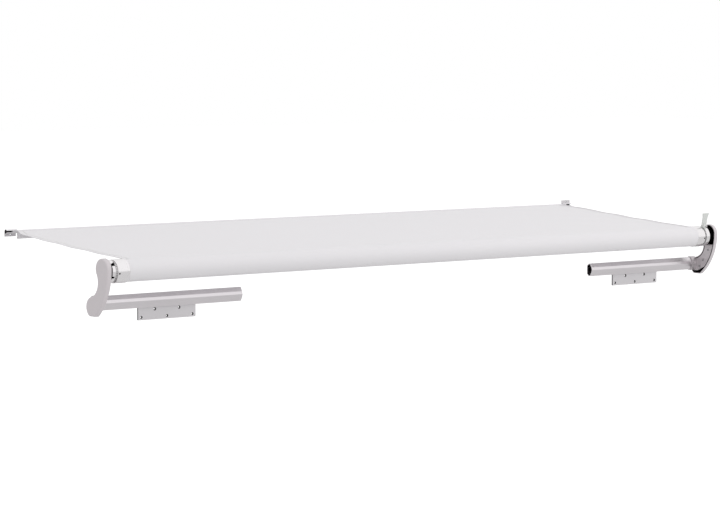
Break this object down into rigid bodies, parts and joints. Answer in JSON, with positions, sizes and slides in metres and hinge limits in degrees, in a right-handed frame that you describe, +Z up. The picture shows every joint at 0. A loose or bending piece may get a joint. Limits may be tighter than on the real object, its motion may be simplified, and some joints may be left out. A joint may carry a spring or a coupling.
{
  "type": "slide topper awning",
  "caption": "Sprung roller on two short arms with support bars and mounting plates; it winds a white fabric sheet that covers a slide-out room.",
  "frame": {"origin": "half way between the mounting plates, on the plane of their backs, level with their lower holes", "axes": "+X along the roller to the end with the lock lever, +Y towards the vehicle's wall, +Z up"},
  "size_m": [2.282, 0.6078, 0.232],
  "materials": {
    "cover_plastic": "light warm grey, satin",
    "black_casting": "black powder coat",
    "grey_steel": "galvanised, dull",
    "zinc_screws": "zinc plated",
    "zinc_steel": "turned, zinc plated",
    "black_screws": "black oxide",
    "plate_aluminium": "mill finish",
    "bar_aluminium": "satin anodised",
    "bright_casting": "polished",
    "bush_nylon": "natural nylon",
    "spring_steel": "oiled",
    "lever_plastic": "pale, slightly translucent",
    "rope": "braided cord",
    "awning_fabric": "coated white cloth"
  },
  "bodies": {
    "frame": {"left_arm_cover": "cover_plastic", "left_arm_core": "black_casting", "left_arm_plate": "grey_steel", "left_arm_screws": "zinc_screws", "left_bar_socket": "grey_steel", "left_bar_set_screws": "black_screws", "left_mounting_plate": "plate_aluminium", "left_plate_screws": "zinc_screws", "left_shaft": "zinc_steel", "left_shaft_pin": "zinc_steel", "left_torsion_spring": "spring_steel", "left_spring_anchor": "bush_nylon", "left_support_bar": "bar_aluminium", "left_hub": "bright_casting", "right_arm_cover": "cover_plastic", "right_arm_core": "black_casting", "right_arm_plate": "grey_steel", "right_arm_screws": "zinc_screws", "right_bar_socket": "grey_steel", "right_bar_set_screws": "black_screws", "right_mounting_plate": "plate_aluminium", "right_plate_screws": "zinc_screws", "right_shaft": "zinc_steel", "right_shaft_pin": "zinc_steel", "right_torsion_spring": "spring_steel", "right_spring_anchor": "bush_nylon", "right_support_bar": "bar_aluminium", "right_hub": "bright_casting", "lock_lever_pin": "zinc_steel", "fabric_sheet": "awning_fabric"},
    "roller": {"left_end_cap": "bright_casting", "left_end_cap_screws": "black_screws", "left_bearing_bush": "bush_nylon", "right_end_cap": "bright_casting", "right_end_cap_screws": "black_screws", "right_bearing_bush": "bush_nylon", "roller_tube": "bar_aluminium", "roller_rope": "rope", "fabric_wound": "awning_fabric"},
    "wall_edge": {"hem_bead": "awning_fabric", "hem_strip": "awning_fabric", "left_rail_stop": "plate_aluminium", "right_rail_stop": "plate_aluminium"},
    "lever": {"lock_lever": "lever_plastic"}
  },
  "joints": [
    {"name": "fabric_travel", "type": "slide", "parent": "frame", "child": "wall_edge", "axis": [0, 1, 0], "range_m": [-0.49975, 0], "deforming": ["fabric_sheet"]},
    {"name": "roller_spin", "type": "hinge", "parent": "frame", "child": "roller", "pos_m": [0, -0.069, 0.1345], "axis": [1, 0, 0], "range_deg": [0, 945]},
    {"name": "lock_lever_swing", "type": "hinge", "parent": "frame", "child": "lever", "pos_m": [1.1042, -0.0814, 0.16787], "axis": [1, 0, 0], "range_deg": [0, 10]}
  ],
  "couplings": [
    {"joint": "roller_spin", "follows": "fabric_travel", "rad_per_m": -33.003}
  ]
}
